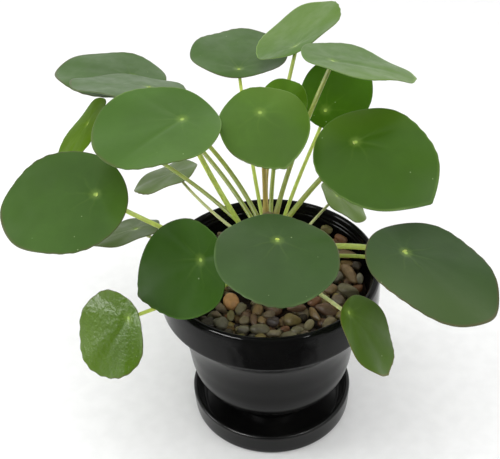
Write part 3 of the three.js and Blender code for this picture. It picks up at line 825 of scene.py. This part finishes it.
class Blade:
    """The skin of one blade, on the same surface as its solid, with finer detail of its own."""

    def __init__(self, name, leaf):
        self.leaf = leaf
        self.half = leaf.length / 2
        self.axes = blade_axes(leaf)
        self.teeth = TOOTHED.get(name, 0)
        self.sides = SIDES_PER_TOOTH * self.teeth or SMOOTH_SIDES
        self.folds = FOLDS.get(name, ())
        self.seed = sum(map(ord, name))
        self.phase = np.random.default_rng(self.seed).uniform(0, TURN, 4)
        self.angle = around(self.sides)
        bend, out = CORNERS.get(name, (0, 0))
        apart = np.abs(np.angle(np.exp(1j * (self.angle - math.radians(bend)))))
        self.corner = out / self.half * np.exp(-apart / CORNER_SPREAD)

    def margin(self, reach):
        """How far out a ring lies, with its teeth or nibbles, its slow sag and its pointed corner."""
        angle, phase = self.angle, self.phase
        if self.teeth:
            nibble = TOOTH_HEIGHT * np.cos(self.teeth * angle)
        else:
            nibbles = np.sin(31 * angle + phase[3]) * np.maximum(0, np.sin(2 * angle + phase[2]))
            nibble = NIBBLE_HEIGHT * reach ** 6 * nibbles
        sag = SLOW_SAG * reach * np.sin(3 * angle + phase[0])
        sag = sag + QUICK_SAG * reach * np.sin(7 * angle + phase[1])
        return reach * (1 + nibble + sag + reach ** 8 * self.corner)

    def relief(self, reach, u, v):
        """The height of a ring's waves, swells, folds, puckers and dimple."""
        angle, phase = self.angle, self.phase
        wave = WAVE_HEIGHT * reach ** 3 * np.sin(WAVES * angle + self.leaf.tip)
        swell = SWELL_HEIGHT * reach * np.sin(9 * angle + phase[2] + 2 * reach) * (1 - reach ** 4)
        for degrees, depth, wide in self.folds:
            way = math.radians(degrees)
            along_it = u * math.cos(way) + v * math.sin(way)
            off_it = (v * math.cos(way) - u * math.sin(way)) / wide
            inside = np.clip(along_it / FOLD_START, 0, 1) * (1 - reach ** 2)
            swell = swell - depth * np.exp(-off_it ** 2) * inside
        if self.teeth:
            places = zip(u * PUCKER_SCALE, v * PUCKER_SCALE)
            puckers = np.array([noise.noise(Vector((a, b, self.seed))) for a, b in places])
            swell = swell + PUCKER_HEIGHT * reach * puckers
        return wave + swell - DIMPLE[0] * math.exp(-(reach / DIMPLE[1]) ** 2)

    def ring(self, reach, drop, spread):
        """A ring's points, drop below the upper face, and how far they are from the navel."""
        leaf, cosine, sine = self.leaf, np.cos(self.angle), np.sin(self.angle)
        margin = self.margin(reach)
        u = margin * (self.half * cosine + leaf.back * leaf.length) + spread * cosine
        v = margin * leaf.broad * self.half * sine * (1 - LOBE_TAPER * cosine) + spread * sine
        fall = leaf.dome * (u * u + v * v) + leaf.droop * np.maximum(u, 0) ** 2
        height = self.relief(reach, u, v) - fall / leaf.length - drop
        along, across, up = self.axes
        points = np.array(leaf.at) + np.outer(u, along) + np.outer(v, across) + np.outer(height, up)
        return points, u, v


def make_blade(name, leaf, upper, lower):
    """A thin blade: the rings of its upper face, of its rounded edge and of its lower face."""
    blade = Blade(name, leaf)
    sides = blade.sides
    rings = [(reach, 0, 0) for reach in BLADE_REACHES] + BLADE_EDGE
    rings += [(reach, BLADE_THICKNESS - EDGE_THINNING * reach ** 3, 0) for reach in BLADE_REACHES[::-1]]
    rows = [blade.ring(*ring) for ring in rings]
    points, u, v = (np.concatenate([row[kind] for row in rows]) for kind in range(3))
    reach = np.repeat([ring[0] for ring in rings], sides)
    poles = np.array([points[:sides].mean(0), points[-sides:].mean(0)])
    top, bottom, last = len(points), len(points) + 1, len(points) - sides
    faces = [face[::-1] for face in grid_faces(len(rings), sides)]
    faces += [(top, c, (c + 1) % sides) for c in range(sides)]
    faces += [(bottom, last + (c + 1) % sides, last + c) for c in range(sides)]
    upper_faces = (len(BLADE_REACHES) + 1) * sides
    kinds = [0] * upper_faces + [1] * (last - upper_faces) + [0] * sides + [1] * sides
    points = np.vstack([points, poles])
    piece = make_piece(f"leaf_{name}", points, faces, [upper, lower], [f"blade_{name}"], kinds)

    # Painted light on one side of the blade, stored for its material to read.
    way, share = PAINTED_LIGHT_SIDES.get(name, (0, 0))
    aside = (u * math.cos(math.radians(way)) + v * math.sin(math.radians(way))) / blade.half
    painted_light = share * np.clip(aside / PAINTED_LIGHT_REACH, 0, 1)
    for kind, values in {"blade_u": u, "blade_v": v, "reach": reach, "painted_light": painted_light}.items():
        add_values(piece, kind, np.append(values, [0, 0]))


def stalk_line(leaf, steps):
    """Points along a stalk's middle, evenly spaced, from the stem to the blade."""
    up = blade_axes(leaf)[2]
    foot = unit(np.array([leaf.at[0], leaf.at[1], 0])) * (STEM_RADIUS + GAP)
    side = unit(np.array([-foot[1], foot[0], 0]))
    foot[2] = leaf.height
    head = np.array(leaf.at) - up * (BLADE_THICKNESS + GAP)
    chord = head - foot
    long = np.linalg.norm(chord)
    start = unit(chord) + side * leaf.sway
    start[2] += leaf.rise
    start[2] = min(start[2], STEEPEST_START * math.hypot(start[0], start[1]))
    lift = max(1, NECK_LIFT - NECK_REACH * (unit(chord) @ up))
    end = unit(NECK_REACH * unit(chord) + lift * up)
    knots = [foot, foot + unit(start) * STALK_BOW * long, head - end * STALK_NECK * lift * long, head]
    t = np.linspace(0, 1, CURVE_SAMPLES)[:, None]
    curve = ((1 - t) ** 3 * knots[0] + 3 * t * (1 - t) ** 2 * knots[1]
             + 3 * t * t * (1 - t) * knots[2] + t ** 3 * knots[3])
    lengths = np.append(0, np.cumsum(np.linalg.norm(np.diff(curve, axis=0), axis=1)))
    even = np.linspace(0, lengths[-1], steps + 1)
    return np.array([np.interp(even, lengths, curve[:, axis]) for axis in range(3)]).T


def make_stalk(name, leaf, material):
    """A round tapered stalk, swollen where it leaves the stem and where it meets the blade."""
    steps, sides = STALK_STEPS, STALK_SIDES
    line = stalk_line(leaf, steps)
    tangents = np.gradient(line, axis=0)
    tangents /= np.linalg.norm(tangents, axis=1)[:, None]
    side = unit(np.cross(tangents[0], [0.3, 0.2, 1]))
    points, shares, turns = [], [], []
    for i, (centre, tangent) in enumerate(zip(line, tangents)):
        side = unit(side - tangent * (side @ tangent))
        other = np.cross(tangent, side)
        share = i / steps
        flare = STALK_FLARE * max(0.0, 1 - share / FLARE_SHARE)
        flare += STALK_HEAD[0] * max(0.0, (share - 1 + STALK_HEAD[1]) / STALK_HEAD[1])
        radius = leaf.stalk * (1 + flare - STALK_TAPER * share)
        for c in range(sides):
            angle = c / sides * TURN
            points.append(centre + radius * (math.cos(angle) * side + math.sin(angle) * other))
            shares.append(share)
            turns.append(abs(c / sides - 0.5) * 2)
    faces = grid_faces(steps + 1, sides)
    faces.append(tuple(range(sides))[::-1])
    faces.append(tuple(range(steps * sides, (steps + 1) * sides)))
    piece = make_piece(f"petiole_{name}", points, faces, [material], [f"stalk_{name}"])
    add_values(piece, "share", shares)
    add_values(piece, "turn", turns)


# ---- Stage, lights and camera ----------------

FLOOR_HALF = 4
LIT_AT = (0, 0, 0.15)  # the lamps face this point of the plant

# The room's light: the way it is brightest, the dot products with that way at which it is weakest and
# strongest, and its strength there.
BRIGHT_WAY = (0.06, 0.8, 0.35)
ROOM_SPAN = (-0.6, 0.8)
ROOM_STRENGTH = (0.12, 1.25)

# The dark sheet that paints a dark reflection on the glaze: half width, where it starts and ends in front,
# and its height over the floor. It is dark where the look sideways is short against the look ahead.
SHADE_HALF = 1.2
SHADE_FRONT = -3.5
SHADE_BACK = -0.12
SHADE_HEIGHT = 0.002
SHADE_MIDDLE = 0.012
SHADE_FADE = (0.35, 0.85)

# The camera looks at the middle of the pot's rim: distance (mm), degrees above the horizon, then the
# small turns aside, up and round its own axis that fit the pot in the photo, and its lens.
CAMERA_DISTANCE = 678
CAMERA_ELEVATION = math.radians(40)
CAMERA_ASIDE = math.radians(1.07)
CAMERA_LIFT = math.radians(1.92)
CAMERA_ROLL = math.radians(-1.04)
CAMERA_LENS = 72
SENSOR_WIDTH = 36


def make_sheet(name, half, front, back, height, material):
    """A flat sheet that isn't part of the plant."""
    mesh = bpy.data.meshes.new(name)
    corners = [(-half, front, height), (half, front, height), (half, back, height), (-half, back, height)]
    mesh.from_pydata(corners, [], [(0, 1, 2, 3)])
    mesh.materials.append(material)
    return add_object(name, mesh)


def make_floor():
    """A pale plain floor."""
    finish = Finish("pale_floor", Roughness=0.8)
    pale = finish.mix(finish.patches(90, 3, (0.3, 0.7)), "#f4f4f4", "#f8f8f8")
    make_sheet("floor", FLOOR_HALF, -FLOOR_HALF, FLOOR_HALF, 0, finish.made(pale))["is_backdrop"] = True


def area_light(name, at, size, power, shines=True, lights=True):
    """A soft oval lamp that faces the plant. It may light without a reflection, or only be reflected."""
    lamp = bpy.data.lights.new(name, "AREA")
    lamp.shape = "ELLIPSE"
    lamp.size, lamp.size_y = size
    lamp.energy = power
    made = add_object(name, lamp)
    made.location = at
    made.rotation_euler = (Vector(LIT_AT) - Vector(at)).to_track_quat("-Z", "Y").to_euler()
    made.visible_glossy = shines
    made.visible_diffuse = lights


def make_light():
    """A white room that is bright behind and overhead and dim in front, and soft lamps."""
    world = bpy.data.worlds.new("studio")
    bpy.context.scene.world = world
    world.use_nodes = True
    tree = world.node_tree
    place = tree.nodes.new("ShaderNodeTexCoord").outputs["Generated"]
    towards = tree.nodes.new("ShaderNodeVectorMath")
    towards.operation = "DOT_PRODUCT"
    tree.links.new(place, towards.inputs[0])
    towards.inputs[1].default_value = BRIGHT_WAY
    strength = tree.nodes.new("ShaderNodeMapRange")
    for socket, value in zip(strength.inputs[1:5], ROOM_SPAN + ROOM_STRENGTH):
        socket.default_value = value
    tree.links.new(towards.outputs["Value"], strength.inputs[0])
    background = tree.nodes["Background"]
    background.inputs["Color"].default_value = (1, 1, 1, 1)
    tree.links.new(strength.outputs[0], background.inputs["Strength"])
    area_light("overhead", (-0.35, -0.1, 1.5), (1.6, 1.6), 7, shines=False)
    area_light("fill", (0.15, -1.0, 1.2), (1.2, 1.2), 6, shines=False)
    area_light("window", (-1.1, -0.1, 0.45), (0.45, 0.45), 4)
    area_light("far_window", (0.9, -0.35, 0.8), (0.2, 0.2), 1.2)
    area_light("low_glare", (-1.1, -0.2, 0.32), (0.25, 0.25), 1.6, lights=False)
    area_light("left_strip", (-0.62, -0.65, 0.75), (0.55, 0.12), 13, lights=False)
    area_light("right_strip", (0.58, -0.64, 0.75), (0.32, 0.12), 5, lights=False)


def make_shade():
    """A dark sheet on the floor in front, with faded sides, which only reflections show: a painted dark
    reflection on the glaze.
    """
    finish = Finish("painted_reflection_sheet", Roughness=0.9)
    place = finish.node("SeparateXYZ", finish.place).node.outputs
    ahead = finish.times(place["Y"], -1)
    aside = finish.math("DIVIDE", finish.math("SUBTRACT", place["X"], SHADE_MIDDLE), ahead)
    ripple = finish.times(finish.math("SUBTRACT", finish.noise(42, 3), 0.5), 0.8)
    aside = finish.math("ABSOLUTE", finish.math("ADD", aside, ripple))
    # Painted reflection: dark in the middle, pale at the sides.
    dark_reflection = finish.made(finish.mix(finish.step(aside, *SHADE_FADE), "#161615", "#f0f0f0"))
    shade = make_sheet("shade", SHADE_HALF, SHADE_FRONT, SHADE_BACK, SHADE_HEIGHT, dark_reflection)
    for ray in ("camera", "diffuse", "transmission", "shadow"):
        setattr(shade, f"visible_{ray}", False)
    shade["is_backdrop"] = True


def make_camera():
    """The camera stands in front and above, looking down on the pot."""
    back = CAMERA_DISTANCE * math.cos(CAMERA_ELEVATION)
    at = Vector((0, -back, POT_TOP + CAMERA_DISTANCE * math.sin(CAMERA_ELEVATION)))
    forward = (Vector((0, 0, POT_TOP)) - at).normalized()
    right = Vector((1, 0, 0))
    up = right.cross(forward)
    aside = Matrix.Rotation(CAMERA_ASIDE, 3, up)
    forward, right = aside @ forward, aside @ right
    lift = Matrix.Rotation(CAMERA_LIFT, 3, right)
    forward, up = lift @ forward, lift @ up
    cosine, sine = math.cos(CAMERA_ROLL), math.sin(CAMERA_ROLL)
    right, up = right * cosine + up * sine, up * cosine - right * sine
    lens = bpy.data.cameras.new("camera")
    lens.sensor_width = SENSOR_WIDTH
    lens.lens = CAMERA_LENS
    lens.clip_start = 0.01
    camera = add_object("camera", lens)
    turn = Matrix((right, up, -forward)).transposed().to_4x4()
    camera.matrix_world = Matrix.Translation(at * MM) @ turn
    bpy.context.scene.camera = camera


# ---- Everything together ---------------------

bpy.context.scene.view_settings.view_transform = "Standard"
make_camera()
make_light()
make_floor()
make_shade()

make_saucer(glaze_finish("saucer_glaze", 1.3))
make_pot(glaze_finish("pot_glaze", 1.2))
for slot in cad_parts["soil"].material_slots:
    slot.material = soil_finish()
stone = stone_finish()
make_pebbles(stone)
make_amber_stone(stone)
make_stem(stem_finish())

uppers = {tone: blade_finish(f"blade_{tone}", *looks, **LEAF_EXTRAS.get(tone, {}))
          for tone, looks in LEAF_TONES.items()}
lower = underside_finish()
stalks = {tone: stalk_finish(f"stalk_{tone}", shade) for tone, shade in STALK_TONES.items()}
for leaf_name, row in LEAVES.items():
    blade_tone, stalk_tone = LOOKS[leaf_name]
    make_blade(leaf_name, row, uppers[blade_tone], lower)
    make_stalk(leaf_name, row, stalks[stalk_tone])

boxes = {"cad": cad_box, "visual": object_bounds()}
{name: [list(corner) for corner in box] for name, box in boxes.items()}
